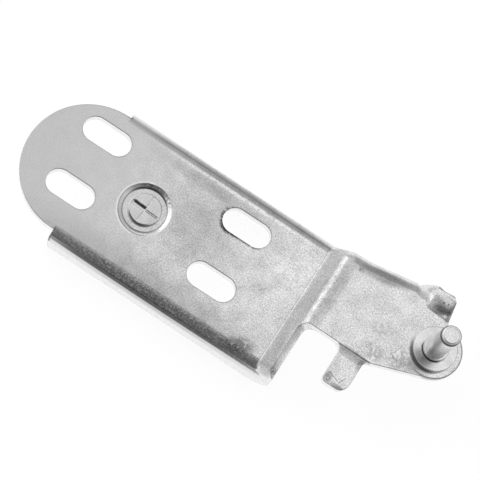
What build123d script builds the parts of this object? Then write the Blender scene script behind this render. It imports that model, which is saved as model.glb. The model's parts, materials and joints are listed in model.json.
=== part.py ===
from build123d import *
from math import asin, atan2, cos, degrees, hypot, radians, sin, sqrt, tan
import os

# Refrigerator door hinge: a pressed steel bracket, a riveted hinge pin and a
# riveted locating stud. Millimetres, +Z up, the hinge pin points up.
# The origin is the middle of the round end, on the face that meets the cabinet.

# Sheet and bends
sheet = 3.0
bend_inside = 1.0
bend_outside = bend_inside + sheet

# Flat body with its round end and its two flanges
round_end_radius = 21.0
body_width = 47.0
body_length = 73.0
flange_start = 1.0
flange_depth = 12.0
flange_corner_radius = 7.0

# Four slots for the cabinet screws
slot_width = 8.0
slot_length = 16.0
slot_spacing_x = 50.0
slot_spacing_y = 20.0
slot_middle_x = 23.3
slot_middle_y = 2.0

# Step between the body and the arm
step_rise = 6.0
step_angle = 48.0
step_foot_radius = 0.6
step_crown_radius = 5.0
lip_length = 5.7

# Arm and its rim; places along the arm count from the end of the body
arm_lower_y = -3.8
rim_turn = 9.5
rim_turn_radius = 30.0
rim_turn_run = 8.5
rim_end_run = 27.0
rim_depth = 7.0
rim_ramp_start_run = 1.0
rim_ramp_end_run = 11.0
notch_radius = 3.4

# Finger on the arm's lower edge
finger_left_run = 17.8
finger_width = 8.1
finger_tip_y = -15.9
finger_drop = 1.0
finger_step_width = 1.1
finger_root_radius = 2.0
finger_left_corner_radius = 1.6
finger_right_corner_radius = 3.4
finger_crease_radius = 0.2

# Stop tab beside the pin; it twists upward from its left side to its right side
tab_bend_inset = 3.3
tab_inside_radius = 1.5
tab_corner_radius = 0.8
tab_left_run = 33.0
tab_left_angle = 8.0
tab_left_length = 7.4
tab_right_run = 40.8
tab_right_angle = 42.0
tab_right_length = 7.0
tab_right_slant = 16.0

# Middle of the sheet that opens out from the rim into the tab; it still leans down
opening_bend_inset = 0.1
opening_angle = -42.0
opening_length = 5.6

# Hinge pin
pin_run = 41.4
pin_y = 10.3
pin_diameter = 6.2
pin_height = 20.8
pin_tip_chamfer = 0.8
arm_end_radius = 8.7
collar_diameter = 13.5
collar_height = 2.0
shoulder_diameter = 7.8
shoulder_height = 1.3
pin_shank_diameter = 8.0
pin_tail_diameter = 11.0
pin_tail_height = 1.8
pin_tail_edge = 0.7

# Dish pressed into the body, so that the stud's staked end stays below the face
dish_rim_diameter = 16.2
dish_floor_diameter = 13.6
dish_depth = 0.8
dish_rim_radius = 0.4

# Locating stud, with a shallow cross staked into its end and one arm driven deep
stud_x = 20.0
stud_y = -0.6
stud_face_diameter = 10.4
stud_face_height = 0.8
stud_face_edge = 0.35
stud_shank_diameter = 8.0
stud_tail_diameter = 12.0
stud_tail_height = 2.4
stud_tail_edge = 0.8
cross_length = 9.2
cross_width = 0.5
cross_depth = 0.12
cross_turn = -3.0
deep_arm_width = 1.1
deep_arm_depth = 0.5

# Shared clearance of the riveted shanks in their holes
rivet_clearance = 0.1

# Values worked out from the sizes above
half_width = body_width / 2
rim_turn_x = body_length + rim_turn_run
rim_end_x = body_length + rim_end_run
rim_ramp_start_x = body_length + rim_ramp_start_run
rim_ramp_end_x = body_length + rim_ramp_end_run
finger_left_x = body_length + finger_left_run
tab_bend_y = half_width - tab_bend_inset
opening_bend_y = half_width - opening_bend_inset
tab_left_x = body_length + tab_left_run
tab_right_x = body_length + tab_right_run
pin_x = body_length + pin_run
step_run = step_rise / tan(radians(step_angle))
step_top_x = body_length + step_run
lip_end = (
    body_length + lip_length * cos(radians(step_angle)),
    lip_length * sin(radians(step_angle)),
)
lip_under_x = lip_end[0] + sheet * sin(radians(step_angle))
finger_right_x = finger_left_x + finger_width
finger_heel_x = finger_right_x + finger_root_radius
outline_reach = half_width + flange_depth
part_height = step_rise + flange_depth
arm_reach = pin_x + arm_end_radius + sheet

near = 0.01
lip_plane = Plane(
    origin=(lip_end[0], arm_lower_y, lip_end[1]),
    x_dir=(cos(radians(step_angle)), 0, sin(radians(step_angle))),
    z_dir=(-sin(radians(step_angle)), 0, cos(radians(step_angle))),
)
trim_x = step_top_x + step_crown_radius
tab_root_y = tab_bend_y - tab_inside_radius
pin_axis = Axis((pin_x, pin_y, 0), (0, 0, 1))
stud_face_z = stud_face_height - dish_depth
on_top = (Align.CENTER, Align.CENTER, Align.MIN)
stud_axis = Axis((stud_x, stud_y, 0), (0, 0, 1))

# The arm's lower edge leaves the finger and runs tangent to the round arm end
heel_to_pin = hypot(pin_x - finger_heel_x, pin_y - arm_lower_y)
heel_angle = degrees(
    atan2(pin_y - arm_lower_y, pin_x - finger_heel_x) - asin(arm_end_radius / heel_to_pin)
)
heel_run = sqrt(heel_to_pin**2 - arm_end_radius**2)
heel_tangent = (
    finger_heel_x + heel_run * cos(radians(heel_angle)),
    arm_lower_y + heel_run * sin(radians(heel_angle)),
)

# The rim's outer line: straight, a gentle arc, then straight again
rim_arc_end = (
    rim_turn_x + rim_turn_radius * sin(radians(rim_turn)),
    half_width + rim_turn_radius * (1 - cos(radians(rim_turn))),
)
rim_end = (
    rim_end_x,
    rim_arc_end[1] + (rim_end_x - rim_arc_end[0]) * tan(radians(rim_turn)),
)
rim_root_x = rim_end_x + (rim_end[1] - tab_root_y) * tan(radians(rim_turn))
rim_end_plane = Plane(
    origin=(rim_end[0], rim_end[1], 0),
    x_dir=(-sin(radians(rim_turn)), cos(radians(rim_turn)), 0),
    z_dir=(cos(radians(rim_turn)), sin(radians(rim_turn)), 0),
)
opening_plane = Plane.YZ.offset((rim_end_x + tab_left_x) / 2)
tab_left_plane = Plane.YZ.offset(tab_left_x)
tab_right_plane = Plane(
    origin=(tab_right_x, tab_bend_y, 0),
    x_dir=(-sin(radians(tab_right_slant)), cos(radians(tab_right_slant)), 0),
    z_dir=(cos(radians(tab_right_slant)), sin(radians(tab_right_slant)), 0),
)

# Sheet of the body and the arm: its side profile, trimmed to the outline from above
with BuildPart() as main_sheet:
    with BuildSketch(Plane.XZ):
        with BuildLine() as side_path:
            Polyline((flange_start, 0), (body_length, 0), (step_top_x, step_rise), (arm_reach, step_rise))
            fillet(side_path.vertices().sort_by(Axis.X)[1], step_foot_radius)
            fillet(side_path.vertices().sort_by(Axis.X)[-2], step_crown_radius)
            offset(amount=sheet, side=Side.RIGHT)
        make_face()
    extrude(amount=outline_reach, both=True)
    with BuildSketch():
        with BuildLine():
            Polyline(
                rim_end,
                (rim_root_x, tab_root_y),
                (tab_right_x, tab_root_y),
                (pin_x, pin_y),
                heel_tangent,
                (finger_heel_x, arm_lower_y),
                (trim_x, arm_lower_y),
                (trim_x, -half_width),
                (flange_start, -half_width),
                (flange_start, half_width),
                (rim_turn_x, half_width),
            )
            RadiusArc((rim_turn_x, half_width), rim_arc_end, -rim_turn_radius)
            Line(rim_arc_end, rim_end)
        make_face()
        with Locations((pin_x, pin_y)):
            Circle(arm_end_radius)
    extrude(amount=part_height, both=True, mode=Mode.INTERSECT)

# Round end of the body, without flanges
with BuildPart() as round_end:
    with BuildSketch():
        Circle(round_end_radius)
        with Locations((flange_start, 0)):
            Rectangle(
                2 * round_end_radius,
                2 * round_end_radius,
                align=(Align.MIN, Align.CENTER),
                mode=Mode.SUBTRACT,
            )
            Rectangle(flange_start, 2 * round_end_radius, align=(Align.MAX, Align.CENTER))
    extrude(amount=-sheet)

# Finger sheet: it steps down from the arm along a sharp crease
with BuildPart() as finger_sheet:
    with BuildSketch(Plane.YZ.offset(finger_left_x - finger_root_radius)):
        with BuildLine() as finger_path:
            Polyline(
                (finger_tip_y, step_rise - finger_drop),
                (arm_lower_y - finger_step_width, step_rise - finger_drop),
                (arm_lower_y, step_rise),
                (pin_y, step_rise),
            )
            fillet(finger_path.vertices().sort_by(Axis.X)[1], finger_step_width)
            fillet(finger_path.vertices().sort_by(Axis.X)[-2], finger_crease_radius)
            offset(amount=sheet, side=Side.RIGHT)
        make_face()
    extrude(amount=finger_width + 2 * finger_root_radius)
    with BuildSketch() as finger_outline:
        with Locations((finger_left_x + finger_width / 2, (arm_lower_y + finger_tip_y) / 2)):
            Rectangle(finger_width, arm_lower_y - finger_tip_y)
        tip_corners = finger_outline.vertices().group_by(Axis.Y)[0].sort_by(Axis.X)
        fillet(tip_corners[0], finger_left_corner_radius)
        tip_corner = finger_outline.vertices().sort_by(Axis.X)[-2:].sort_by(Axis.Y)[0]
        fillet(tip_corner, finger_right_corner_radius)
        with Locations(((finger_left_x + finger_right_x) / 2, arm_lower_y)):
            Rectangle(finger_width + 2 * finger_root_radius, 2 * finger_root_radius)
        with Locations(
            (finger_left_x - finger_root_radius, arm_lower_y - finger_root_radius),
            (finger_heel_x, arm_lower_y - finger_root_radius),
        ):
            Circle(finger_root_radius, mode=Mode.SUBTRACT)
    extrude(amount=part_height, both=True, mode=Mode.INTERSECT)


# Section across the arm's upper edge: flat from the arm's middle, then bent by an angle
def edge_section(plane, bend_place, angle, length):
    with BuildSketch(plane) as section:
        with BuildLine() as section_path:
            Polyline(
                (bend_place - tab_bend_y + pin_y, step_rise),
                (bend_place, step_rise),
                (bend_place + length * cos(radians(angle)), step_rise + length * sin(radians(angle))),
            )
            bend = section_path.vertices().sort_by_distance((bend_place, step_rise))[0]
            fillet(bend, tab_inside_radius if angle > 0 else bend_outside)
            offset(amount=sheet, side=Side.RIGHT)
        make_face()
    return section.sketch


# Opening sheet: the bend along the rim turns from downward to upward, into the tab
with BuildPart() as opening_sheet:
    add(edge_section(rim_end_plane, 0, -90, rim_depth))
    add(edge_section(opening_plane, opening_bend_y, opening_angle, opening_length))
    add(edge_section(tab_left_plane, tab_bend_y, tab_left_angle, tab_left_length))
    loft()

# Tab sheet: it twists upward beside the pin
with BuildPart() as tab_sheet:
    add(edge_section(tab_left_plane, tab_bend_y, tab_left_angle, tab_left_length))
    add(edge_section(tab_right_plane, 0, tab_right_angle, tab_right_length))
    loft()
    tab_tip = tab_sheet.faces().sort_by(Axis.Y)[-1]
    fillet(tab_tip.edges().sort_by(Axis.X)[-1], tab_corner_radius)

# Flange under the lower edge, still untrimmed at the step
with BuildPart() as lower_flange:
    with BuildSketch(Plane.XZ.offset(half_width)) as lower_flange_outline:
        with BuildLine():
            Polyline(
                (flange_start, 0),
                (body_length, 0),
                (step_top_x, step_rise),
                (trim_x, step_rise),
                (trim_x, -flange_depth),
                (flange_start, -flange_depth),
                (flange_start, 0),
            )
        make_face()
        flange_top = lower_flange_outline.vertices().filter_by(lambda v: v.Y > -sheet).sort_by(Axis.X)
        fillet(flange_top[1], step_foot_radius)
        crown = lower_flange_outline.vertices().group_by(Axis.Y)[-1].sort_by(Axis.X)[0]
        fillet(crown, step_crown_radius)
    extrude(amount=-sheet)

# Rim under the upper edge, along the body, over the step and along the arm
with BuildPart() as upper_flange:
    with BuildSketch(Plane.XZ) as rim_outline:
        with BuildLine():
            Polyline(
                (flange_start, 0),
                (body_length, 0),
                (step_top_x, step_rise),
                (tab_right_x, step_rise),
                (tab_right_x, step_rise - rim_depth),
                (rim_ramp_end_x, step_rise - rim_depth),
                (rim_ramp_start_x, -flange_depth),
                (flange_start, -flange_depth),
                (flange_start, 0),
            )
        make_face()
        upper = rim_outline.vertices().filter_by(lambda v: v.Y > -sheet).sort_by(Axis.X)
        fillet(upper[1], step_foot_radius)
        crown = rim_outline.vertices().group_by(Axis.Y)[-1].sort_by(Axis.X)[0]
        fillet(crown, step_crown_radius)
    extrude(amount=outline_reach, both=True)
    with BuildSketch():
        with BuildLine():
            rim_line = Line((flange_start, half_width), (rim_turn_x, half_width))
            rim_arc = RadiusArc((rim_turn_x, half_width), rim_arc_end, -rim_turn_radius)
            rim_tail = Line(rim_arc_end, rim_end)
            offset(amount=sheet, side=Side.RIGHT)
        make_face()
    extrude(amount=part_height, both=True, mode=Mode.INTERSECT)


# Height of the bracket's upper side above the cabinet face, bends left out
def side_height(x):
    return min(max((x - body_length) * tan(radians(step_angle)), 0), step_rise)


# True for the sharp edges that become the outside of the two long bends
def is_outer_bend(edge):
    middle = edge.center()
    end_x = rim_end_x if middle.Y > 0 else trim_x
    beside = abs(middle.Y) > half_width - near and middle.X < end_x - near
    return beside and middle.Z > side_height(middle.X) - sheet / 2


# True for the sharp edges that become the inside of the two long bends
def is_inner_bend(edge):
    middle = edge.center()
    beside = abs(middle.Y) > half_width - sheet - near
    end_x = rim_end_x if middle.Y > 0 else trim_x
    within = flange_start + near < middle.X < end_x - near
    depth = side_height(middle.X) - middle.Z
    return beside and within and sheet / 2 < depth < sheet / cos(radians(step_angle)) + near


# Cut that frees the lip and the notch, square to the step's slope
with BuildPart() as notch_cut:
    with BuildSketch(lip_plane) as notch_outline:
        Rectangle(arm_reach, outline_reach, align=(Align.MIN, Align.MAX))
        fillet(notch_outline.vertices().sort_by(Axis.Y)[-2:].sort_by(Axis.X)[0], notch_radius)
    extrude(amount=part_height * 2, both=True)

# Cut that ends the lower flange below the lip, with its round corner
with BuildPart() as flange_cut:
    with BuildSketch(Plane.XZ.offset(half_width)) as flange_cut_outline:
        with BuildLine():
            Polyline(
                (lip_under_x, step_rise),
                (lip_under_x, -flange_depth),
                (body_length / 2, -flange_depth),
                (body_length / 2, -part_height),
                (arm_reach, -part_height),
                (arm_reach, step_rise),
                (lip_under_x, step_rise),
            )
        make_face()
        corner_place = (lip_under_x, -half_width, -flange_depth)
        inner_corner = flange_cut_outline.vertices().sort_by_distance(corner_place)[0]
        fillet(inner_corner, flange_corner_radius)
    extrude(amount=-bend_outside)

# The pressed bracket, one piece of sheet
with BuildPart() as hinge_plate:
    add(main_sheet.part)
    add(lower_flange.part)
    add(upper_flange.part)
    fillet(hinge_plate.edges().filter_by(is_outer_bend), bend_outside)
    fillet(hinge_plate.edges().filter_by(is_inner_bend), bend_inside)
    add(notch_cut.part, mode=Mode.SUBTRACT)
    add(flange_cut.part, mode=Mode.SUBTRACT)
    add(round_end.part)
    add(finger_sheet.part)
    add(opening_sheet.part)
    add(tab_sheet.part)
    # Dish for the stud, as deep on the upper side as it stands out below
    with Locations((stud_x, stud_y, -dish_depth)):
        Cone(dish_floor_diameter / 2, dish_rim_diameter / 2, dish_depth, align=on_top, mode=Mode.SUBTRACT)
    with Locations((stud_x, stud_y, -dish_depth - sheet)):
        Cone(dish_floor_diameter / 2, dish_rim_diameter / 2, dish_depth, align=on_top)
    dish_rim = hinge_plate.edges().sort_by_distance((stud_x + dish_rim_diameter / 2, stud_y, 0))[0]
    fillet(dish_rim, dish_rim_radius)
    # Slots for the cabinet screws, then the holes of the pin and the stud
    with BuildSketch():
        with Locations((slot_middle_x, slot_middle_y)):
            with GridLocations(slot_spacing_x, slot_spacing_y, 2, 2):
                SlotOverall(slot_length, slot_width)
        with Locations((stud_x, stud_y)):
            Circle(stud_shank_diameter / 2 + rivet_clearance)
    extrude(amount=-sheet - dish_depth, mode=Mode.SUBTRACT)
    with BuildSketch(Plane.XY.offset(step_rise)):
        with Locations((pin_x, pin_y)):
            Circle(pin_shank_diameter / 2 + rivet_clearance)
    extrude(amount=-sheet, mode=Mode.SUBTRACT)

# Turned pin: tail head, shank, collar, shoulder and shaft in one piece
with BuildPart() as hinge_pin:
    with BuildSketch(Plane.XZ.offset(-pin_y)):
        with Locations((pin_x, step_rise)):
            with Locations((0, -sheet)):
                Rectangle(pin_tail_diameter / 2, pin_tail_height, align=(Align.MIN, Align.MAX))
                Rectangle(pin_shank_diameter / 2, sheet, align=(Align.MIN, Align.MIN))
            Rectangle(collar_diameter / 2, collar_height, align=(Align.MIN, Align.MIN))
            Rectangle(shoulder_diameter / 2, collar_height + shoulder_height, align=(Align.MIN, Align.MIN))
            Rectangle(pin_diameter / 2, pin_height, align=(Align.MIN, Align.MIN))
    revolve(axis=pin_axis)
    rims = hinge_pin.edges().filter_by(GeomType.CIRCLE).sort_by(Axis.Z)
    chamfer(rims[-1], pin_tip_chamfer)
    chamfer(rims[0], pin_tail_edge)

# Staked stud: round end with its cross mark, shank and tail head
with BuildPart() as locating_stud:
    with BuildSketch(Plane.XZ.offset(-stud_y)):
        with Locations((stud_x, -dish_depth)):
            Rectangle(stud_face_diameter / 2, stud_face_height, align=(Align.MIN, Align.MIN))
            Rectangle(stud_shank_diameter / 2, sheet, align=(Align.MIN, Align.MAX))
            with Locations((0, -sheet)):
                Rectangle(stud_tail_diameter / 2, stud_tail_height, align=(Align.MIN, Align.MAX))
    revolve(axis=stud_axis)
    stud_rims = locating_stud.edges().filter_by(GeomType.CIRCLE).sort_by(Axis.Z)
    chamfer(stud_rims[0], stud_tail_edge)
    fillet(stud_rims[-1], stud_face_edge)
    with BuildSketch(Plane.XY.offset(stud_face_z)):
        with Locations(Location((stud_x, stud_y), cross_turn)):
            Rectangle(cross_length, cross_width)
            Rectangle(cross_width, cross_length)
    extrude(amount=-cross_depth, mode=Mode.SUBTRACT)
    with BuildSketch(Plane.XY.offset(stud_face_z)):
        with Locations(Location((stud_x, stud_y), cross_turn)):
            Rectangle(cross_length / 2, deep_arm_width, align=(Align.MAX, Align.CENTER))
    extrude(amount=-deep_arm_depth, mode=Mode.SUBTRACT)

hinge_plate.part.label = "hinge_plate"
hinge_pin.part.label = "hinge_pin"
locating_stud.part.label = "locating_stud"

os.makedirs("parts", exist_ok=True)
export_step(hinge_plate.part, "parts/hinge_plate.step")
export_step(hinge_pin.part, "parts/hinge_pin.step")
export_step(locating_stud.part, "parts/locating_stud.step")
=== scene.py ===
"""Refrigerator door hinge: a zinc plated pressing, its riveted pin and its staked stud.

The three solids keep the shapes that they were packed with, and get their finishes here.
Lengths are metres, in the part's own frame: the flat face that meets the cabinet lies at Z = 0, the
arm runs along +X, and the pin points along +Z.
"""

import json
import logging
import math
from dataclasses import dataclass, field
from enum import Enum
from typing import Sequence, Union

import bpy
import numpy as np
from mathutils import Matrix, Vector

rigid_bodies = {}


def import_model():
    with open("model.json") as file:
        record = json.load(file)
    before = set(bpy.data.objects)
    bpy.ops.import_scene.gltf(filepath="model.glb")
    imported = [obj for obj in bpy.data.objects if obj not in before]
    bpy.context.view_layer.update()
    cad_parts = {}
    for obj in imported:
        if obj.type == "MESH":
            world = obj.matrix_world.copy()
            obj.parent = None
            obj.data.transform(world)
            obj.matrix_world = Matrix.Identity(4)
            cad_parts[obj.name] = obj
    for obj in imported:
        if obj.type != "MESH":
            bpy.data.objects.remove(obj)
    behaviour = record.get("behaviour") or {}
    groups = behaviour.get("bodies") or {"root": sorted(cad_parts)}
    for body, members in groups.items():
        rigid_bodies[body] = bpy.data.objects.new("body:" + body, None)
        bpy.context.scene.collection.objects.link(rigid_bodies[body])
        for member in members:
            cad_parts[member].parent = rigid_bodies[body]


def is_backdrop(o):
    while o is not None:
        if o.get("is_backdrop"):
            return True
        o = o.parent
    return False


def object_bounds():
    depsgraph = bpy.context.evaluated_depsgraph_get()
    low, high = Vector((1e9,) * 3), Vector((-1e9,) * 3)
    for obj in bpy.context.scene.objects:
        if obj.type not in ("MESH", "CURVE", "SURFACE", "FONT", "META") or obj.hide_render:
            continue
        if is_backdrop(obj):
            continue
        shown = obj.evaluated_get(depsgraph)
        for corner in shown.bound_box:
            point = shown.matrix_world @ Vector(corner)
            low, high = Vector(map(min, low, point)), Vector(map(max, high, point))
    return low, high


LOG = logging.getLogger("door_hinge")

Triple = tuple[float, float, float]
Feed = Union[float, Sequence[float], bpy.types.NodeSocket]

# Height by which the floor stays clear of the flange's edges
FLOOR_GAP = 0.00005

# Places of the part that several marks share
FLANGE_START = 0.001
STUD_AXIS = (0.020, -0.0006, 0.0)
PIN_AXIS = (0.1144, 0.0103, 0.0)
BURRED_SLOT = (0.0483, 0.012, 0.0)

# Cloud that breaks a mark into specks: its middle value, how far the cover moves the cut from there,
# and half the width of the cut
CLOUD_MIDDLE = 0.5
COVER_SHIFT = 0.28
SPECK_EDGE = 0.06

# Shares of a mark's size over which it is at full strength, and the runs of its other fades
STROKE_LENGTH_HEART = 0.8
STROKE_WIDTH_HEART = 0.5
RING_HEART = 0.4
RING_ARC_FADE = 0.5
RING_HEIGHT_FADE = 0.0002
BURR_HEART = 0.2
BURR_ARC_FADE = 0.6

# Upward part of a face's normal at which the face begins to count as upright, and at which it does
WALL_LEAN = (0.35, 0.15)

# Rays that each point sends out to find the worn edges near it
BEVEL_SAMPLES = 8


class Solid(Enum):
    """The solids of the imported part, by the names of their nodes."""

    PLATE = "hinge_plate"
    PIN = "hinge_pin"
    STUD = "locating_stud"


class Blend(Enum):
    """How a second colour is laid over a first one."""

    MIX = "MIX"
    MULTIPLY = "MULTIPLY"
    ADD = "ADD"


@dataclass(frozen=True)
class Cloud:
    """A soft random cloud.

    Attributes:
        width: The width of its largest clouds, in the units of the point.
        detail: How many finer layers are added.
        roughness: How strong each finer layer is.
        bend: How far the clouds are bent.
    """

    width: float
    detail: float
    roughness: float
    bend: float = 0.0


class ShaderGraph:
    """Adds nodes to one node tree and joins them."""

    def __init__(self, tree: bpy.types.NodeTree) -> None:
        """Empty the tree.

        Args:
            tree: The node tree of a material or of the world.
        """
        self.tree = tree
        tree.nodes.clear()

    def node(self, kind: str, **settings: object) -> bpy.types.Node:
        """Add a node.

        Args:
            kind: Blender's own name for the type of node.
            settings: Values for the node's properties, by name.

        Returns:
            The new node.
        """
        made = self.tree.nodes.new(kind)
        for name, value in settings.items():
            setattr(made, name, value)
        return made

    def feed(self, socket: bpy.types.NodeSocket, value: Feed) -> None:
        """Join an output to an input, or write a plain value on the input.

        Args:
            socket: The input.
            value: An output socket, a number, or the numbers of a vector or colour.
        """
        if isinstance(value, bpy.types.NodeSocket):
            self.tree.links.new(value, socket)
        else:
            socket.default_value = value

    def math(self, operation: str, first: Feed, second: Feed = 0.0) -> bpy.types.NodeSocket:
        """Work out one sum on numbers.

        Args:
            operation: Blender's name for the sum.
            first: The first number.
            second: The second number.

        Returns:
            The answer's socket.
        """
        made = self.node("ShaderNodeMath", operation=operation)
        self.feed(made.inputs[0], first)
        self.feed(made.inputs[1], second)
        return made.outputs[0]

    def place(self) -> bpy.types.NodeSocket:
        """Return the surface point in the part's own frame."""
        return self.node("ShaderNodeTexCoord").outputs["Object"]

    def along(self, vector: bpy.types.NodeSocket) -> tuple[bpy.types.NodeSocket, ...]:
        """Take a vector apart.

        Args:
            vector: The vector.

        Returns:
            Its parts along X, Y and Z.
        """
        made = self.node("ShaderNodeSeparateXYZ")
        self.feed(made.inputs[0], vector)
        return tuple(made.outputs)

    def length(self, vector: bpy.types.NodeSocket) -> bpy.types.NodeSocket:
        """Work out how long a vector is.

        Args:
            vector: The vector.

        Returns:
            Its length.
        """
        made = self.node("ShaderNodeVectorMath", operation="LENGTH")
        self.feed(made.inputs[0], vector)
        return made.outputs["Value"]

    def flat(self, vector: bpy.types.NodeSocket) -> bpy.types.NodeSocket:
        """Lay a vector flat.

        Args:
            vector: The vector.

        Returns:
            The vector without its upward part.
        """
        made = self.node("ShaderNodeVectorMath", operation="MULTIPLY")
        self.feed(made.inputs[0], vector)
        self.feed(made.inputs[1], (1.0, 1.0, 0.0))
        return made.outputs[0]

    def size_of(self, value: Feed) -> bpy.types.NodeSocket:
        """Return a number without its sign."""
        return self.math("ABSOLUTE", value)

    def about_one(self, value: Feed, size: float) -> bpy.types.NodeSocket:
        """Return a cloud of 0 to 1 as one that goes from 1 minus size to 1 plus size."""
        return self.math("ADD", self.about_zero(value, size), 1.0)

    def about_zero(self, value: Feed, size: float) -> bpy.types.NodeSocket:
        """Return a cloud of 0 to 1 as one that goes from minus size to plus size."""
        return self.math("MULTIPLY", self.math("SUBTRACT", value, CLOUD_MIDDLE), 2.0 * size)

    def to_unit(self, value: Feed) -> bpy.types.NodeSocket:
        """Return a number of -1 to 1 as one of 0 to 1."""
        return self.math("ADD", self.math("MULTIPLY", value, 0.5), 0.5)

    def mapped(self, vector: Feed, centre: Triple, turn: float = 0.0, stretch: Triple = (1.0, 1.0, 1.0)
               ) -> bpy.types.NodeSocket:
        """Move a point to a centre's own axes.

        Args:
            vector: The point.
            centre: The point that becomes the origin.
            turn: The turn of the new axes about Z, in degrees.
            stretch: The length on each new axis that counts as 1.

        Returns:
            The point as the new axes see it.
        """
        made = self.node("ShaderNodeMapping", vector_type="TEXTURE")
        self.feed(made.inputs["Vector"], vector)
        self.feed(made.inputs["Location"], centre)
        self.feed(made.inputs["Rotation"], (0.0, 0.0, math.radians(turn)))
        self.feed(made.inputs["Scale"], stretch)
        return made.outputs[0]

    def noise(self, vector: Feed, cloud: Cloud) -> bpy.types.NodeSocket:
        """Work out how thick a cloud is at a point.

        Args:
            vector: The point.
            cloud: The cloud.

        Returns:
            A number between 0 and 1.
        """
        made = self.node("ShaderNodeTexNoise", noise_dimensions="3D")
        for name, value in (("Vector", vector), ("Scale", 1.0 / cloud.width), ("Detail", cloud.detail),
                            ("Roughness", cloud.roughness), ("Distortion", cloud.bend)):
            self.feed(made.inputs[name], value)
        return made.outputs["Fac"]

    def fade(self, value: Feed, start: float, end: float, low: float = 0.0, high: float = 1.0
             ) -> bpy.types.NodeSocket:
        """Turn a range of numbers into a smooth step.

        Args:
            value: The number.
            start: The number at which the step begins.
            end: The number at which it is complete, which may be under start.
            low: The answer before the step.
            high: The answer after it.

        Returns:
            The answer's socket.
        """
        made = self.node("ShaderNodeMapRange", interpolation_type="SMOOTHSTEP", clamp=True)
        for name, number in (("Value", value), ("From Min", start), ("From Max", end),
                             ("To Min", low), ("To Max", high)):
            self.feed(made.inputs[name], number)
        return made.outputs[0]

    def blend(self, share: Feed, under: Feed, over: Feed, how: Blend = Blend.MIX
              ) -> bpy.types.NodeSocket:
        """Lay one colour over another.

        Args:
            share: How much of the second colour is laid on, from 0 to 1.
            under: The first colour.
            over: The second colour.
            how: The way of laying it.

        Returns:
            The colour's socket.
        """
        made = self.node("ShaderNodeMix", data_type="RGBA", blend_type=how.value)
        self.feed(made.inputs["Factor"], share)
        colours = [socket for socket in made.inputs if socket.type == "RGBA"]
        for socket, value in zip(colours, (under, over)):
            self.feed(socket, value if isinstance(value, bpy.types.NodeSocket) else (*value, 1.0)[:4])
        return next(socket for socket in made.outputs if socket.type == "RGBA")

    def ramp(self, value: Feed, stops: Sequence[tuple[float, float]]) -> bpy.types.NodeSocket:
        """Look a number up on straight runs between stops.

        Args:
            value: The number, from 0 to 1.
            stops: Pairs of a place from 0 to 1 and the grey at it.

        Returns:
            The grey's socket.
        """
        made = self.node("ShaderNodeValToRGB")
        self.feed(made.inputs[0], value)
        elements = made.color_ramp.elements
        while len(elements) < len(stops):
            elements.new(1.0)
        for element, (at, grey) in zip(elements, stops):
            element.position = at
            element.color = (grey, grey, grey, 1.0)
        return made.outputs["Color"]


@dataclass(frozen=True, kw_only=True)
class MarkOrPaintedLight:
    """Something laid over the clean plating: stains, scuffs, burrs, scratches, painted highlights and
    painted shade.

    Attributes:
        tone: What the colour is multiplied by at its heart; over 1 is lighter.
        dulling: What it adds to the roughness.
        speck: The width of the specks that it is broken into, or 0 where it is even.
        cover: The share of it that the specks cover.
    """

    tone: float = 0.7
    dulling: float = 0.05
    speck: float = 0.0
    cover: float = 0.5

    def shape(self, graph: ShaderGraph, point: bpy.types.NodeSocket) -> bpy.types.NodeSocket:
        """Work out how strong the unbroken mark is at a point.

        Args:
            graph: The graph to add to.
            point: The surface point in the part's frame.

        Returns:
            The strength, from 0 to 1.
        """
        raise NotImplementedError

    def mask(self, graph: ShaderGraph, point: bpy.types.NodeSocket) -> bpy.types.NodeSocket:
        """Work out how strong the mark is, with its specks.

        Where the mark has specks, its shape is multiplied by a cloud that is cut at the cover.

        Args:
            graph: The graph to add to.
            point: The surface point in the part's frame.

        Returns:
            The strength, from 0 to 1.
        """
        strength = self.shape(graph, point)
        if self.speck:
            thickness = graph.noise(point, Cloud(width=self.speck, detail=3.0, roughness=0.65, bend=0.4))
            cut = CLOUD_MIDDLE + COVER_SHIFT * (0.5 - self.cover)
            specks = graph.fade(thickness, cut - SPECK_EDGE, cut + SPECK_EDGE)
            strength = graph.math("MULTIPLY", strength, specks)
        return strength


@dataclass(frozen=True, kw_only=True)
class Patch(MarkOrPaintedLight):
    """A mark with a soft round or oval outline.

    Attributes:
        centre: Its middle.
        reach: How far it goes each way from there, along its own axes.
        turn: The turn of its axes about Z, in degrees.
        heart: The share of its reach over which it is at full strength.
    """

    centre: Triple
    reach: Triple
    turn: float = 0.0
    heart: float = 0.3

    def shape(self, graph: ShaderGraph, point: bpy.types.NodeSocket) -> bpy.types.NodeSocket:
        """Return a strength that is 1 in the heart of an ellipsoid and falls to 0 at its reach."""
        seen = graph.mapped(point, self.centre, self.turn, self.reach)
        return graph.fade(graph.length(seen), 1.0, self.heart)


@dataclass(frozen=True, kw_only=True)
class Stroke(MarkOrPaintedLight):
    """A mark that is one straight line, seen from above.

    Attributes:
        centre: Its middle.
        half_length: Half its length.
        half_width: Half its width.
        turn: The turn of its length about Z from the X axis, in degrees.
        depth: How far above and below its middle it is seen.
    """

    centre: Triple
    half_length: float
    half_width: float
    turn: float = 0.0
    depth: float = 0.002

    def shape(self, graph: ShaderGraph, point: bpy.types.NodeSocket) -> bpy.types.NodeSocket:
        """Work out the line: the product of a fade along it, one across it and one on the height.

        Args:
            graph: The graph to add to.
            point: The surface point in the part's frame.

        Returns:
            The strength, from 0 to 1.
        """
        half = (self.half_length, self.half_width, self.depth)
        along, across, rise = graph.along(graph.mapped(point, self.centre, self.turn, half))
        ends = graph.fade(graph.size_of(along), 1.0, STROKE_LENGTH_HEART)
        sides = graph.fade(graph.size_of(across), 1.0, STROKE_WIDTH_HEART)
        level = graph.fade(graph.size_of(rise), 1.0, STROKE_LENGTH_HEART)
        return graph.math("MULTIPLY", graph.math("MULTIPLY", ends, sides), level)


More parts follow.
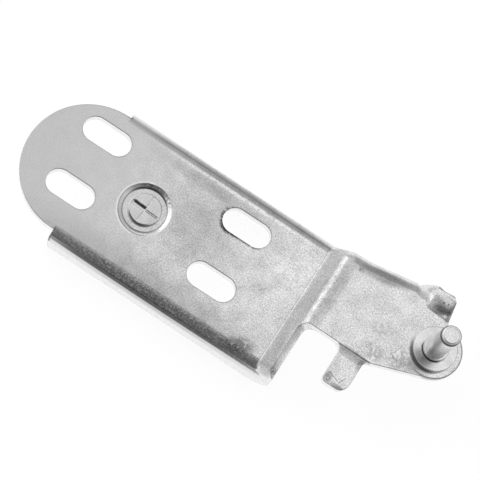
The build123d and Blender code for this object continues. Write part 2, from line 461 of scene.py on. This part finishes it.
@dataclass(frozen=True, kw_only=True)
class Ring(MarkOrPaintedLight):
    """A mark that is a circle or a crescent about an upright axis.

    Attributes:
        centre: A point on the axis.
        radius: The circle's radius.
        half_width: Half the line's width.
        facing: The direction of the crescent's middle from the axis, in degrees from the X axis.
        spread: The cosine of the angle from its middle at which it ends: 0 makes it half a circle,
            near 1 very little of it, and -1.5 or less the whole.
        heights: The lowest and the highest Z at which it is seen.
    """

    centre: Triple
    radius: float
    half_width: float
    facing: float = 0.0
    spread: float = -3.0
    heights: tuple[float, float] = (-0.002, 1.0)

    def shape(self, graph: ShaderGraph, point: bpy.types.NodeSocket) -> bpy.types.NodeSocket:
        """Work out the ring.

        It is a fade about the radius, times a fade on the cosine of the angle from the facing, times
        a fade at each end of the heights.

        Args:
            graph: The graph to add to.
            point: The surface point in the part's frame.

        Returns:
            The strength, from 0 to 1.
        """
        seen = graph.mapped(point, self.centre, self.facing)
        away = graph.length(graph.flat(seen))
        line = graph.fade(graph.size_of(graph.math("SUBTRACT", away, self.radius)),
                          self.half_width, RING_HEART * self.half_width)
        cosine = graph.math("DIVIDE", graph.along(seen)[0], away)
        rise = graph.along(point)[2]
        low, high = self.heights
        for limit in (graph.fade(rise, low, low + RING_HEIGHT_FADE),
                      graph.fade(rise, high, high - RING_HEIGHT_FADE),
                      graph.fade(cosine, self.spread, self.spread + RING_ARC_FADE)):
            line = graph.math("MULTIPLY", line, limit)
        return line


@dataclass(frozen=True, kw_only=True)
class SlotRimShadeAndBurr(MarkOrPaintedLight):
    """The thin dark line round a slot with round ends, which lies along X: painted shade along the worn
    rim, and dark burr where the slot is torn.

    Attributes:
        centre: The slot's middle.
        half_run: Half the straight run between the middles of its round ends.
        radius: The radius of its ends.
        reach: How far the line goes from the edge.
        facing: The direction from the middle in which it is strongest, in degrees from the X axis.
        spread: The cosine of the angle from there at which it ends: 0 takes it half the way round,
            and -1.6 or less all the way.
    """

    centre: Triple
    half_run: float = 0.004
    radius: float = 0.004
    reach: float = 0.0005
    facing: float = 0.0
    spread: float = -3.0

    def shape(self, graph: ShaderGraph, point: bpy.types.NodeSocket) -> bpy.types.NodeSocket:
        """Work out the line as a fade on the distance from the outline.

        The distance is that of the point, with its part along X drawn in by half the run, from the
        middle, less the radius. The line is on the face, and fades out down the slot's wall.

        Args:
            graph: The graph to add to.
            point: The surface point in the part's frame.

        Returns:
            The strength, from 0 to 1.
        """
        along, across, rise = graph.along(graph.mapped(point, self.centre))
        past_run = graph.math("SUBTRACT", graph.size_of(along), self.half_run)
        joined = graph.node("ShaderNodeCombineXYZ")
        graph.feed(joined.inputs[0], graph.math("MAXIMUM", past_run, 0.0))
        graph.feed(joined.inputs[1], across)
        gap = graph.size_of(graph.math("SUBTRACT", graph.length(joined.outputs[0]), self.radius))
        line = graph.math("MULTIPLY", graph.fade(gap, self.reach, BURR_HEART * self.reach),
                          graph.fade(rise, -self.reach, 0.0))
        turned = graph.mapped(point, self.centre, self.facing)
        cosine = graph.math("DIVIDE", graph.along(turned)[0], graph.length(graph.flat(turned)))
        arc = graph.fade(cosine, self.spread, self.spread + BURR_ARC_FADE)
        return graph.math("MULTIPLY", line, arc)


@dataclass(frozen=True)
class ZincFinish:
    """Bright zinc plating over steel that has been pressed, handled and scuffed.

    Attributes:
        name: The material's name.
        colour: The clean plating's colour.
        roughness: The clean plating's roughness.
        grain: How much the fine grain changes the colour.
        grain_cloud: The fine grain.
        grain_polish: What the roughness changes by where the grain and the mottling double the colour.
        mottle: How much the cloudy mottling changes the colour.
        mottle_cloud: The mottling.
        calm_end: The place along X up to which the plating is smooth.
        rough_end: The place along X from which it is fully grained.
        calm_share: The share of the grain that the smooth plating has.
        relief: The depth of the grain.
        dents: The shallow dents, which are wider than the grain.
        dent_depth: Their depth, as a multiple of the grain's.
        edge_radius: The radius to which a cut edge is worn.
        sheared_bright_and_painted_light: The colour of upright faces: bright metal on the cut edges, and
            painted light on the other upright faces, such as the flanges' faces and the pin's shaft.
        sheared_dulling: What upright faces add to the roughness.
        streaks: How much the streaks down an upright face change its colour.
        streak_size: The width, the depth and the height of a streak.
        streak_cloud: The streaks, where the point is counted in such sizes.
        marks: The stains, scuffs, burrs and scratches, and the painted highlights and painted shade.
    """

    name: str
    colour: Triple = (0.722, 0.721, 0.722)
    roughness: float = 0.19
    grain: float = 0.90
    grain_cloud: Cloud = Cloud(width=0.0005, detail=4.0, roughness=0.8)
    grain_polish: float = -0.20
    mottle: float = 0.30
    mottle_cloud: Cloud = Cloud(width=0.0050, detail=6.0, roughness=0.62, bend=0.3)
    calm_end: float = 0.002
    rough_end: float = 0.034
    calm_share: float = 0.25
    relief: float = 0.000020
    dents: Cloud = Cloud(width=0.009, detail=1.0, roughness=0.4)
    dent_depth: float = 3.0
    edge_radius: float = 0.00040
    sheared_bright_and_painted_light: Triple = (0.88, 0.88, 0.88)
    sheared_dulling: float = 0.12
    streaks: float = 0.16
    streak_size: Triple = (0.0004, 0.0004, 0.006)
    streak_cloud: Cloud = Cloud(width=1.0, detail=3.0, roughness=0.7)
    marks: tuple[MarkOrPaintedLight, ...] = ()

    def material(self) -> bpy.types.Material:
        """Build the finish.

        The colour is the plating's, times one plus the grain and the mottling, each a cloud about zero.
        Upright faces are lighter, partly as painted light, and streaked, and each mark multiplies the
        colour, some of them as painted highlights and painted shade. The roughness follows the same
        clouds and marks. Edges are rounded as if worn, and the bump lays the grain and the dents over
        that.

        Returns:
            The material.
        """
        made = bpy.data.materials.new(self.name)
        made.use_nodes = True
        graph = ShaderGraph(made.node_tree)
        point = graph.place()
        activity = graph.fade(graph.along(point)[0], self.calm_end, self.rough_end, self.calm_share)

        fine = graph.noise(point, self.grain_cloud)
        coarse = graph.noise(point, self.mottle_cloud)
        change = graph.math("ADD", graph.about_zero(fine, self.grain),
                            graph.about_zero(coarse, self.mottle))
        change = graph.math("MULTIPLY", change, activity)
        colour = graph.blend(1.0, self.colour, graph.math("ADD", change, 1.0), Blend.MULTIPLY)

        normal = graph.node("ShaderNodeNewGeometry").outputs["Normal"]
        wall = graph.fade(graph.size_of(graph.along(normal)[2]), *WALL_LEAN)
        streaked = graph.mapped(point, (0.0, 0.0, 0.0), 0.0, self.streak_size)
        drawn = graph.about_one(graph.noise(streaked, self.streak_cloud), self.streaks)
        # Upright faces take a lighter colour: bright metal on the cut edges, painted light on the other
        # upright faces
        colour = graph.blend(wall, colour, graph.blend(1.0, self.sheared_bright_and_painted_light, drawn, Blend.MULTIPLY))

        rough = graph.math("ADD", self.roughness, graph.math("MULTIPLY", change, self.grain_polish))
        rough = graph.math("ADD", rough, graph.math("MULTIPLY", wall, self.sheared_dulling))
        for mark in self.marks:
            strength = mark.mask(graph, point)
            colour = graph.blend(strength, colour, (mark.tone,) * 3, Blend.MULTIPLY)
            rough = graph.math("ADD", rough, graph.math("MULTIPLY", strength, mark.dulling))

        rounded = graph.node("ShaderNodeBevel", samples=BEVEL_SAMPLES)
        graph.feed(rounded.inputs["Radius"], self.edge_radius)
        dents = graph.math("MULTIPLY", graph.noise(point, self.dents), self.dent_depth)
        relief = graph.math("MULTIPLY", graph.math("ADD", fine, coarse), activity)
        relief = graph.math("ADD", relief, dents)
        bump = graph.node("ShaderNodeBump")
        graph.feed(bump.inputs["Distance"], self.relief)
        graph.feed(bump.inputs["Strength"], 1.0)
        graph.feed(bump.inputs["Height"], relief)
        graph.feed(bump.inputs["Normal"], rounded.outputs[0])

        shader = graph.node("ShaderNodeBsdfPrincipled")
        graph.feed(shader.inputs["Base Color"], colour)
        graph.feed(shader.inputs["Metallic"], 1.0)
        graph.feed(shader.inputs["Roughness"], rough)
        graph.feed(shader.inputs["Normal"], bump.outputs[0])
        surface = graph.node("ShaderNodeOutputMaterial")
        graph.feed(surface.inputs["Surface"], shader.outputs[0])
        return made


# Stains, burrs and scratches of the pressing, with painted highlights and painted shade laid among them
PLATE_MARKS_AND_PAINTED_LIGHT = (
    # The drawn bends of the two flanges, with painted shade where they mirror dark surroundings, painted
    # highlights where they mirror bright ones, and painted shade on the flat beside them
    Patch(centre=(0.037, -0.02295, -0.00205), reach=(0.056, 0.0011, 0.0015), heart=0.45, tone=0.16),
    Patch(centre=(0.037, -0.0204, -0.0002), reach=(0.056, 0.0014, 0.0012), heart=0.4, tone=0.62,
          speck=0.0007, cover=0.40),
    # Painted highlight along the near bend
    Patch(centre=(0.037, -0.0214, -0.0007), reach=(0.056, 0.0022, 0.0020), tone=1.8, dulling=0.1,
          speck=0.0006, cover=0.35),
    Patch(centre=(0.038, 0.0208, -0.0004), reach=(0.050, 0.0018, 0.0030), heart=0.4, tone=0.80),
    # Painted highlight where the far bend begins
    Patch(centre=(0.044, 0.0190, 0.0), reach=(0.036, 0.0008, 0.0010),
          tone=1.45, speck=0.0012, cover=0.6),
    Patch(centre=(0.036, -0.0205, 0.0), reach=(0.062, 0.0110, 0.0020), heart=0.05, tone=0.72),
    Patch(centre=(0.036, 0.0166, 0.0), reach=(0.027, 0.0029, 0.0020), tone=0.82),
    Stroke(centre=(0.044, 0.0210, 0.0), half_length=0.036, half_width=0.00022, tone=0.62),
    Patch(centre=(0.040, 0.0221, -0.0010), reach=(0.040, 0.0008, 0.0014), heart=0.5, tone=0.76),
    Patch(centre=(0.037, -0.0236, -0.0043), reach=(0.056, 0.0012, 0.0032), heart=0.15, tone=0.66),
    # Painted light on the right of the body, pale and dark clouds, and the stain in its corner
    Patch(centre=(0.068, 0.008, 0.0), reach=(0.010, 0.014, 0.002), tone=1.22, speck=0.003, cover=0.6),
    Patch(centre=(0.036, 0.004, 0.0), reach=(0.016, 0.016, 0.002), tone=0.86),
    Patch(centre=(0.0655, -0.0195, 0.0), reach=(0.0065, 0.0034, 0.003), turn=20.0, tone=0.45,
          speck=0.0014, cover=0.7),
    Patch(centre=(0.0620, -0.0010, 0.0), reach=(0.0040, 0.0025, 0.002), turn=30.0, tone=0.80,
          speck=0.0010, cover=0.5),
    Patch(centre=(0.0390, -0.0057, 0.0), reach=(0.0030, 0.0025, 0.002), tone=1.14, speck=0.0010),
    # Painted shade along the rims of the four slots, and the dark torn burr of one of them
    SlotRimShadeAndBurr(centre=(-0.0017, 0.012, 0.0), tone=0.75, facing=60.0, spread=-0.5),
    SlotRimShadeAndBurr(centre=(-0.0017, -0.008, 0.0), tone=0.75, facing=60.0, spread=-0.5),
    SlotRimShadeAndBurr(centre=(0.0483, -0.008, 0.0), tone=0.70, facing=60.0, spread=-0.5),
    SlotRimShadeAndBurr(centre=BURRED_SLOT, tone=0.30, reach=0.0008, facing=262.0, spread=0.0,
             speck=0.0016, cover=0.85),
    SlotRimShadeAndBurr(centre=BURRED_SLOT, tone=0.12, reach=0.0013, facing=208.0, spread=0.4,
             speck=0.0008, cover=0.65),
    SlotRimShadeAndBurr(centre=BURRED_SLOT, tone=0.72, facing=90.0, spread=-0.3),
    Patch(centre=(0.0424, 0.0079, 0.0), reach=(0.0024, 0.0007, 0.0008), turn=-28.0, tone=0.15,
          speck=0.0005, cover=0.7),
    # Painted shade in the notch at the start of the far flange, and cut end of the near one
    Patch(centre=(0.0007, 0.0213, 0.0), reach=(0.0013, 0.0007, 0.0030), tone=0.25),
    Patch(centre=(FLANGE_START + 0.0001, -0.0233, -0.0040), reach=(0.0007, 0.0026, 0.0034), heart=0.5,
          tone=0.30, speck=0.0008, cover=0.65),
    # Wall, foot and brim of the dish, all painted light and shade: a lighter wall, painted shade at its
    # foot and on its +Y side, painted shade and a painted highlight on the brim's -X side, and a painted
    # highlight on its +X side
    Ring(centre=STUD_AXIS, radius=0.00745, half_width=0.0011, tone=1.30, dulling=0.0),
    Ring(centre=STUD_AXIS, radius=0.0068, half_width=0.00030, tone=0.50),
    Ring(centre=STUD_AXIS, radius=0.0069, half_width=0.00045, facing=100.0, spread=0.4, tone=0.30),
    Ring(centre=STUD_AXIS, radius=0.0077, half_width=0.0009, facing=85.0, spread=0.4,
         tone=0.42, speck=0.0006, cover=0.45),
    Ring(centre=STUD_AXIS, radius=0.0081, half_width=0.00025, facing=180.0, spread=-0.8, tone=0.60),
    Ring(centre=STUD_AXIS, radius=0.0085, half_width=0.0004, facing=185.0, spread=-0.2, tone=1.3),
    Ring(centre=STUD_AXIS, radius=0.0083, half_width=0.0008, facing=5.0, spread=0.3, tone=1.38,
         dulling=0.3),
    # Arm: painted shade along its rim, painted shade across it at the foot of the crown, its darker
    # clouds, the bright ones, and painted shade along the +X edge of its round end
    Patch(centre=(0.0905, 0.0210, 0.006), reach=(0.0115, 0.0028, 0.003), turn=9.5,
          tone=0.62, heart=0.4),
    Patch(centre=(0.0812, 0.0080, 0.006), reach=(0.0016, 0.018, 0.002), tone=0.84),
    Patch(centre=(0.0834, 0.0186, 0.006), reach=(0.0016, 0.0012, 0.001), tone=0.55, speck=0.0008),
    Patch(centre=(0.0995, -0.0004, 0.006), reach=(0.0050, 0.0035, 0.002),
          tone=0.68, speck=0.0013, cover=0.6),
    Patch(centre=(0.1070, 0.0020, 0.006), reach=(0.0060, 0.0045, 0.002),
          tone=0.70, speck=0.0013, cover=0.6),
    Patch(centre=(0.0990, 0.0070, 0.006), reach=(0.0070, 0.0040, 0.002), tone=0.86, speck=0.0010),
    Patch(centre=(0.0860, 0.0070, 0.006), reach=(0.0060, 0.0080, 0.002),
          tone=1.10, speck=0.0020, cover=0.6),
    Ring(centre=PIN_AXIS, radius=0.0086, half_width=0.0004, facing=-8.0, spread=-0.3, tone=0.55,
         heights=(0.0040, 0.0070)),
    # Step: a painted highlight over the lower end of its crown, specks of painted shade that dim the
    # crown's highlight, painted shade on its face, and its lip
    Patch(centre=(0.0785, -0.0120, 0.0030), reach=(0.0026, 0.0105, 0.0040), heart=0.6,
          tone=1.3, dulling=0.1),
    Patch(centre=(0.0781, 0.0060, 0.0054), reach=(0.0036, 0.0180, 0.0030), tone=0.84, dulling=0.12,
          speck=0.0009, cover=0.65),
    Patch(centre=(0.0752, 0.0, 0.0026), reach=(0.0042, 0.050, 0.0042), heart=0.55, tone=0.76),
    Patch(centre=(0.0778, -0.0212, 0.0015), reach=(0.0018, 0.0016, 0.0050),
          tone=0.40, speck=0.0009, cover=0.6),
    # Finger: painted shade in its crease, painted light on its face, its darker patches, and two
    # scratches across it, each drawn as a painted highlight beside a painted shade
    Stroke(centre=(0.0952, -0.00385, 0.0055), half_length=0.0060, half_width=0.00022, tone=0.55),
    Patch(centre=(0.0949, -0.0047, 0.0055), reach=(0.0078, 0.0018, 0.0016), heart=0.6,
          tone=1.38, dulling=0.75),
    Patch(centre=(0.0922, -0.0140, 0.005), reach=(0.0018, 0.0024, 0.002),
          tone=0.50, speck=0.0010, cover=0.7),
    Patch(centre=(0.0962, -0.0152, 0.005), reach=(0.0040, 0.0010, 0.002),
          tone=0.50, speck=0.0010, cover=0.8),
    Patch(centre=(0.0984, -0.0060, 0.005), reach=(0.0016, 0.0030, 0.002), tone=0.75),
    Stroke(centre=(0.0939, -0.0136, 0.005), half_length=0.0021, half_width=0.00022, turn=-20.0,
           tone=1.35),
    Stroke(centre=(0.0936, -0.0131, 0.005), half_length=0.0021, half_width=0.00018, turn=-20.0,
           tone=0.55),
    Stroke(centre=(0.0960, -0.0126, 0.005), half_length=0.0016, half_width=0.00020, turn=64.0,
           tone=1.30),
    Stroke(centre=(0.0963, -0.0127, 0.005), half_length=0.0016, half_width=0.00018, turn=64.0,
           tone=0.60),
    # Tab: its stained root, two pits, its dark corner, painted light on the sheet beside it, and painted
    # shade along its free edge
    Patch(centre=(0.1102, 0.0219, 0.0070), reach=(0.0040, 0.0012, 0.0015), heart=0.45, tone=0.46,
          speck=0.0006, cover=0.75),
    Patch(centre=(0.1095, 0.0238, 0.0078), reach=(0.00055, 0.00045, 0.001), tone=0.40),
    Patch(centre=(0.1109, 0.0238, 0.0083), reach=(0.00045, 0.00055, 0.001), tone=0.40),
    Patch(centre=(0.1128, 0.0210, 0.0070), reach=(0.0008, 0.0030, 0.003), turn=16.0, tone=0.55),
    Patch(centre=(0.1036, 0.0236, 0.0055), reach=(0.0030, 0.0020, 0.0025), tone=1.38, dulling=0.35),
    Stroke(centre=(0.1092, 0.0268, 0.0085), half_length=0.0042, half_width=0.0005, turn=-8.0,
           tone=0.50),
    Stroke(centre=(0.1090, 0.0277, 0.0085), half_length=0.0046, half_width=0.0006, turn=-9.0, tone=0.42,
           depth=0.003),
    Patch(centre=(0.1035, 0.0262, 0.0062), reach=(0.0032, 0.0011, 0.0030), turn=24.0,
          tone=0.62, heart=0.4),
    # Painted shade on the arm at the foot of the pin's collar, on its -X-Y side
    Ring(centre=PIN_AXIS, radius=0.0070, half_width=0.0006, facing=240.0, spread=0.35, tone=0.62,
         heights=(0.0045, 0.0075)),
)

# Painted highlights and painted shade on the pin
PIN_PAINTED_LIGHT_AND_SHADE = (
    # Collar: painted shade on its wall and its top, on the -X-Y side
    Ring(centre=PIN_AXIS, radius=0.0067, half_width=0.0005, facing=242.0, spread=0.45, tone=0.34,
         heights=(0.0050, 0.0078)),
    Patch(centre=(0.1114, 0.0056, 0.0080), reach=(0.0036, 0.0022, 0.0006), turn=-35.0, tone=0.66),
    # Shoulder: painted shade at its foot on the -Y side, and a painted highlight on its -X side
    Ring(centre=PIN_AXIS, radius=0.0039, half_width=0.0005, facing=250.0, spread=0.2, tone=0.12,
         heights=(0.0076, 0.0085)),
    Ring(centre=PIN_AXIS, radius=0.0037, half_width=0.0006, facing=175.0, spread=0.1, tone=1.38,
         dulling=0.35, heights=(0.0083, 0.0102)),
    # Shaft and its tip: a painted highlight on the shaft's -X side, painted shade on its -Y side,
    # painted light on the tip's face, and painted shade round the tip's edge
    Patch(centre=(0.1117, 0.0094, 0.0125), reach=(0.0021, 0.0030, 0.0080), tone=1.36, dulling=0.80),
    Patch(centre=(0.1130, 0.0074, 0.0125), reach=(0.0017, 0.0017, 0.0036), tone=0.70),
    Patch(centre=(0.1144, 0.0103, 0.0264), reach=(0.02, 0.02, 0.0004), heart=0.5,
          tone=1.3, dulling=0.35),
    Ring(centre=PIN_AXIS, radius=0.0031, half_width=0.0005, facing=235.0, spread=-0.4, tone=0.30,
         heights=(0.0252, 0.0263)),
    Ring(centre=PIN_AXIS, radius=0.0030, half_width=0.0004, tone=0.50, heights=(0.0254, 0.0267)),
)

STUD_PAINTED_LIGHT_AND_SHADE = (
    # The cross in the stud's face, as painted shade in its grooves: the deep arm, with a painted
    # highlight along one edge, then its three shallow arms
    Stroke(centre=(0.0180, 0.0000, 0.0), half_length=0.0024, half_width=0.00065, turn=-3.0, tone=0.14,
           speck=0.0012, cover=0.85),
    Stroke(centre=(0.0180, -0.0007, 0.0), half_length=0.0023, half_width=0.00018, turn=-3.0, tone=1.25),
    Stroke(centre=(0.0226, -0.0006, 0.0), half_length=0.0021, half_width=0.00016, turn=-3.0, tone=0.45,
           speck=0.0010, cover=0.7),
    Stroke(centre=(0.0226, -0.0011, 0.0), half_length=0.0021, half_width=0.00016, turn=-3.0, tone=0.50,
           speck=0.0010, cover=0.7),
    Stroke(centre=(0.0202, 0.0018, 0.0), half_length=0.0018, half_width=0.00014, turn=87.0, tone=0.60,
           speck=0.0010, cover=0.7),
    Stroke(centre=(0.0199, -0.0028, 0.0), half_length=0.0014, half_width=0.00014, turn=87.0, tone=0.65,
           speck=0.0010, cover=0.7),
    # Edge of the stud's face: painted shade on its -Y side and a painted highlight on its -X side
    Ring(centre=STUD_AXIS, radius=0.0048, half_width=0.00040, facing=268.0, spread=0.45, tone=0.18),
    Ring(centre=STUD_AXIS, radius=0.0050, half_width=0.00060, facing=195.0, spread=0.3, tone=1.38,
         dulling=0.5),
)


@dataclass(frozen=True)
class Dressing:
    """One solid of the part and the finish that it wears."""

    solid: Solid
    finish: ZincFinish

    def apply(self) -> bpy.types.Object:
        """Put the finish on the solid's material slots.

        Returns:
            The solid's object.
        """
        solid = bpy.data.objects[self.solid.value]
        material = self.finish.material()
        for held in solid.material_slots:
            held.material = material
        return solid


@dataclass(frozen=True)
class HingePlate:
    """The pressing: slotted plate, two flanges, joggle, arm, finger and tab."""

    finish: ZincFinish = ZincFinish(name="plated_pressing", marks=PLATE_MARKS_AND_PAINTED_LIGHT)

    def dress(self) -> bpy.types.Object:
        """Give the pressing its finish, and return its object."""
        return Dressing(Solid.PLATE, self.finish).apply()


@dataclass(frozen=True)
class HingePin:
    """The turned pin, with its collar and shoulder, riveted through the arm."""

    # The pin's upright faces take a lighter colour, as painted light
    finish: ZincFinish = ZincFinish(name="plated_pin", grain=0.30, mottle=0.25, roughness=0.16,
                                    edge_radius=0.0003, sheared_bright_and_painted_light=(0.93, 0.93, 0.93), streaks=0.1,
                                    marks=PIN_PAINTED_LIGHT_AND_SHADE)

    def dress(self) -> bpy.types.Object:
        """Give the pin its finish, and return its object."""
        return Dressing(Solid.PIN, self.finish).apply()


@dataclass(frozen=True)
class LocatingStud:
    """The stud staked through the plate, with a cross sunk in its face."""

    finish: ZincFinish = ZincFinish(name="plated_stud", grain=0.5, mottle=0.3, roughness=0.18,
                                    edge_radius=0.0003, marks=STUD_PAINTED_LIGHT_AND_SHADE)

    def dress(self) -> bpy.types.Object:
        """Give the stud its finish, and return its object."""
        return Dressing(Solid.STUD, self.finish).apply()


@dataclass(frozen=True)
class Floor:
    """The plain white floor under the part.

    Attributes:
        half_side: Half the side of the sheet.
        divisions: Faces along each side.
        glow: The light that the floor gives off where it is looked at or mirrored.
        shade: How strongly it shows the part's shadow there.
        bounce: How light it is to the light that it throws back at the part.
    """

    half_side: float = 1.5
    divisions: int = 8
    glow: float = 0.86
    shade: float = 0.28
    bounce: float = 0.80

    def build(self, level: float) -> bpy.types.Object:
        """Build the floor as a square grid of flat faces.

        Args:
            level: The height of the floor.

        Returns:
            The floor's object.
        """
        steps = np.linspace(-self.half_side, self.half_side, self.divisions + 1)
        across, along = np.meshgrid(steps, steps)
        points = np.stack([across, along, np.full_like(across, level)], axis=-1).reshape(-1, 3)
        corner = np.arange(self.divisions)
        first = (corner[:, None] * (self.divisions + 1) + corner[None, :]).reshape(-1)
        ring = np.array([0, 1, self.divisions + 2, self.divisions + 1])
        faces = first[:, None] + ring[None, :]
        mesh = bpy.data.meshes.new("floor")
        mesh.from_pydata(points.tolist(), [], faces.tolist())
        mesh.update()
        mesh.materials.append(self.material())
        floor = bpy.data.objects.new("floor", mesh)
        bpy.context.scene.collection.objects.link(floor)
        floor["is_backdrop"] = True
        return floor

    def material(self) -> bpy.types.Material:
        """Build the floor's material: white where it is seen, and pale paper to all other light.

        Returns:
            The material.
        """
        made = bpy.data.materials.new("studio_floor")
        made.use_nodes = True
        graph = ShaderGraph(made.node_tree)
        rays = graph.node("ShaderNodeLightPath").outputs
        seen = graph.math("MAXIMUM", rays["Is Camera Ray"], rays["Is Glossy Ray"])
        seen = graph.math("MAXIMUM", seen, rays["Is Transmission Ray"])
        paper = graph.node("ShaderNodeBsdfDiffuse")
        tone = graph.blend(seen, (self.bounce,) * 3, (self.shade,) * 3)
        graph.feed(paper.inputs["Color"], tone)
        glow = graph.node("ShaderNodeEmission")
        graph.feed(glow.inputs["Strength"], graph.math("MULTIPLY", seen, self.glow))
        both = graph.node("ShaderNodeAddShader")
        graph.feed(both.inputs[0], paper.outputs[0])
        graph.feed(both.inputs[1], glow.outputs[0])
        surface = graph.node("ShaderNodeOutputMaterial")
        graph.feed(surface.inputs["Surface"], both.outputs[0])
        return made


@dataclass(frozen=True)
class Softbox:
    """A soft lamp: a panel that faces the part.

    Attributes:
        name: The lamp's name.
        towards: The direction of the lamp as the part sees it.
        distance: How far away it is.
        width: The panel's width.
        height: The panel's height.
        radiance: How bright the panel is to look at, where white is 1.
    """

    name: str
    towards: Triple
    distance: float = 0.9
    width: float = 1.65
    height: float = 0.66
    radiance: float = 0.68

    def build(self, middle: Vector) -> bpy.types.Object:
        """Hang the lamp.

        Args:
            middle: The middle of the part.

        Returns:
            The lamp's object.
        """
        light = bpy.data.lights.new(self.name, "AREA")
        light.shape = "RECTANGLE"
        light.size = self.width
        light.size_y = self.height
        light.energy = self.radiance * math.pi * self.width * self.height
        away = Vector(self.towards).normalized()
        lamp = bpy.data.objects.new(self.name, light)
        turn = away.to_track_quat("Z", "Y").to_matrix().to_4x4()
        lamp.matrix_world = Matrix.Translation(middle + away * self.distance) @ turn
        bpy.context.scene.collection.objects.link(lamp)
        return lamp


@dataclass(frozen=True)
class Studio:
    """The floor, the surrounding light and the lamps.

    Attributes:
        arch: The sky's grey along the arch from the front horizon (0) over the top (0.5) to the back
            horizon (1), as pairs of a place and a grey.
        sides: What that grey is multiplied by from the left (0) to the right (1).
        card_towards: The direction of the pale card overhead.
        card_reach: How far the card goes along X and Y from there, as parts of a direction.
        card_heart: The share of that over which it is at full strength.
        card_light: How much light the card adds.
        floor: The floor.
        lamps: The lamps.
    """

    arch: tuple[tuple[float, float], ...] = (
        (0.00, 0.100), (0.17, 0.115), (0.24, 0.130), (0.30, 0.150), (0.36, 0.165), (0.416, 0.215),
        (0.469, 0.33), (0.522, 0.46), (0.575, 0.50), (0.62, 0.46), (0.717, 0.43), (0.771, 0.36),
        (0.831, 0.42), (0.898, 0.52), (1.00, 0.54))
    sides: tuple[tuple[float, float], ...] = (
        (0.00, 1.60), (0.35, 1.55), (0.45, 1.38), (0.50, 1.08), (0.60, 1.00), (0.75, 1.15), (1.00, 1.20))
    card_towards: Triple = (0.13, 0.285, 0.95)
    card_reach: tuple[float, float] = (0.29, 0.20)
    card_heart: float = 0.3
    card_light: float = 0.58
    floor: Floor = Floor()
    lamps: tuple[Softbox, ...] = (
        Softbox(name="window_lamp", towards=(-0.84, -0.13, 0.45)),
    )

    def build(self, low: Vector, high: Vector) -> None:
        """Set the studio up round the part.

        Args:
            low: The lowest corner of the part's box.
            high: The highest corner.
        """
        self.floor.build(low.z - FLOOR_GAP)
        for lamp in self.lamps:
            lamp.build((low + high) / 2)
        self.surround()

    def surround(self) -> None:
        """Light the world.

        Looked at directly, the world is white. As light it is a grey that changes along the arch, where
        the place on the arch is half of y / (1 + z) of the direction, plus one half. It is multiplied by
        the grey of the side, where the place is half of x, plus one half. The card is added to it.
        """
        world = bpy.data.worlds.new("studio")
        bpy.context.scene.world = world
        world.use_nodes = True
        graph = ShaderGraph(world.node_tree)
        direction = graph.node("ShaderNodeTexCoord").outputs["Generated"]
        x_part, y_part, z_part = graph.along(direction)
        rise = graph.math("ADD", graph.math("MAXIMUM", z_part, 0.0), 1.0)
        arch = graph.ramp(graph.to_unit(graph.math("DIVIDE", y_part, rise)), self.arch)
        side = graph.ramp(graph.to_unit(x_part), self.sides)
        grey = graph.blend(1.0, arch, side, Blend.MULTIPLY)
        level = graph.flat(graph.mapped(direction, self.card_towards, 0.0, (*self.card_reach, 1.0)))
        card = graph.fade(graph.length(level), 1.0, self.card_heart, 0.0, self.card_light)
        light = graph.blend(1.0, grey, card, Blend.ADD)
        seen = graph.node("ShaderNodeLightPath").outputs["Is Camera Ray"]
        glow = graph.node("ShaderNodeBackground")
        graph.feed(glow.inputs["Color"], graph.blend(seen, light, (1.0, 1.0, 1.0)))
        graph.feed(glow.inputs["Strength"], 1.0)
        surface = graph.node("ShaderNodeOutputWorld")
        graph.feed(surface.inputs["Surface"], glow.outputs[0])


@dataclass(frozen=True)
class PhotoCamera:
    """The camera of the photograph.

    Attributes:
        place: Where it stands.
        right: The direction that is to the right in the picture.
        up: The direction that is up in the picture.
        view_angle: The angle that the picture spans each way, in degrees.
        reach: The nearest and the farthest distance that it shows.
    """

    place: Triple = (0.058039, -0.159706, 0.536686)
    right: Triple = (0.835710, 0.528269, 0.150069)
    up: Triple = (-0.548915, 0.795170, 0.257678)
    view_angle: float = 14.5227
    reach: tuple[float, float] = (0.01, 20.0)

    def build(self) -> bpy.types.Object:
        """Set the camera up as the scene's own.

        Returns:
            The camera's object.
        """
        lens = bpy.data.cameras.new("photo_camera")
        lens.sensor_fit = "HORIZONTAL"
        lens.angle = math.radians(self.view_angle)
        lens.clip_start, lens.clip_end = self.reach
        camera = bpy.data.objects.new("photo_camera", lens)
        right = Vector(self.right).normalized()
        back = right.cross(Vector(self.up)).normalized()
        axes = Matrix((right, back.cross(right), back)).transposed()
        camera.matrix_world = Matrix.Translation(self.place) @ axes.to_4x4()
        bpy.context.scene.collection.objects.link(camera)
        bpy.context.scene.camera = camera
        return camera


@dataclass
class DoorHinge:
    """The whole part: its three solids."""

    plate: HingePlate = field(default_factory=HingePlate)
    pin: HingePin = field(default_factory=HingePin)
    stud: LocatingStud = field(default_factory=LocatingStud)

    def dress(self) -> None:
        """Dress every solid and report it."""
        for piece in (self.plate, self.pin, self.stud):
            solid = piece.dress()
            LOG.info("%s: %d faces in %s", solid.name, len(solid.data.polygons), piece.finish.name)


def clear_scene() -> None:
    """Take away whatever the scene starts with."""
    for thing in list(bpy.data.objects):
        bpy.data.objects.remove(thing, do_unlink=True)


def main() -> None:
    """Load the frame, dress the part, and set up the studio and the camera."""
    logging.basicConfig(level=logging.INFO, format="%(name)s: %(message)s")
    clear_scene()
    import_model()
    cad_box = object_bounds()
    DoorHinge().dress()
    Studio().build(*cad_box)
    PhotoCamera().build()
    scene = bpy.context.scene
    scene.view_settings.view_transform = "Standard"


if __name__ == "__main__":
    main()
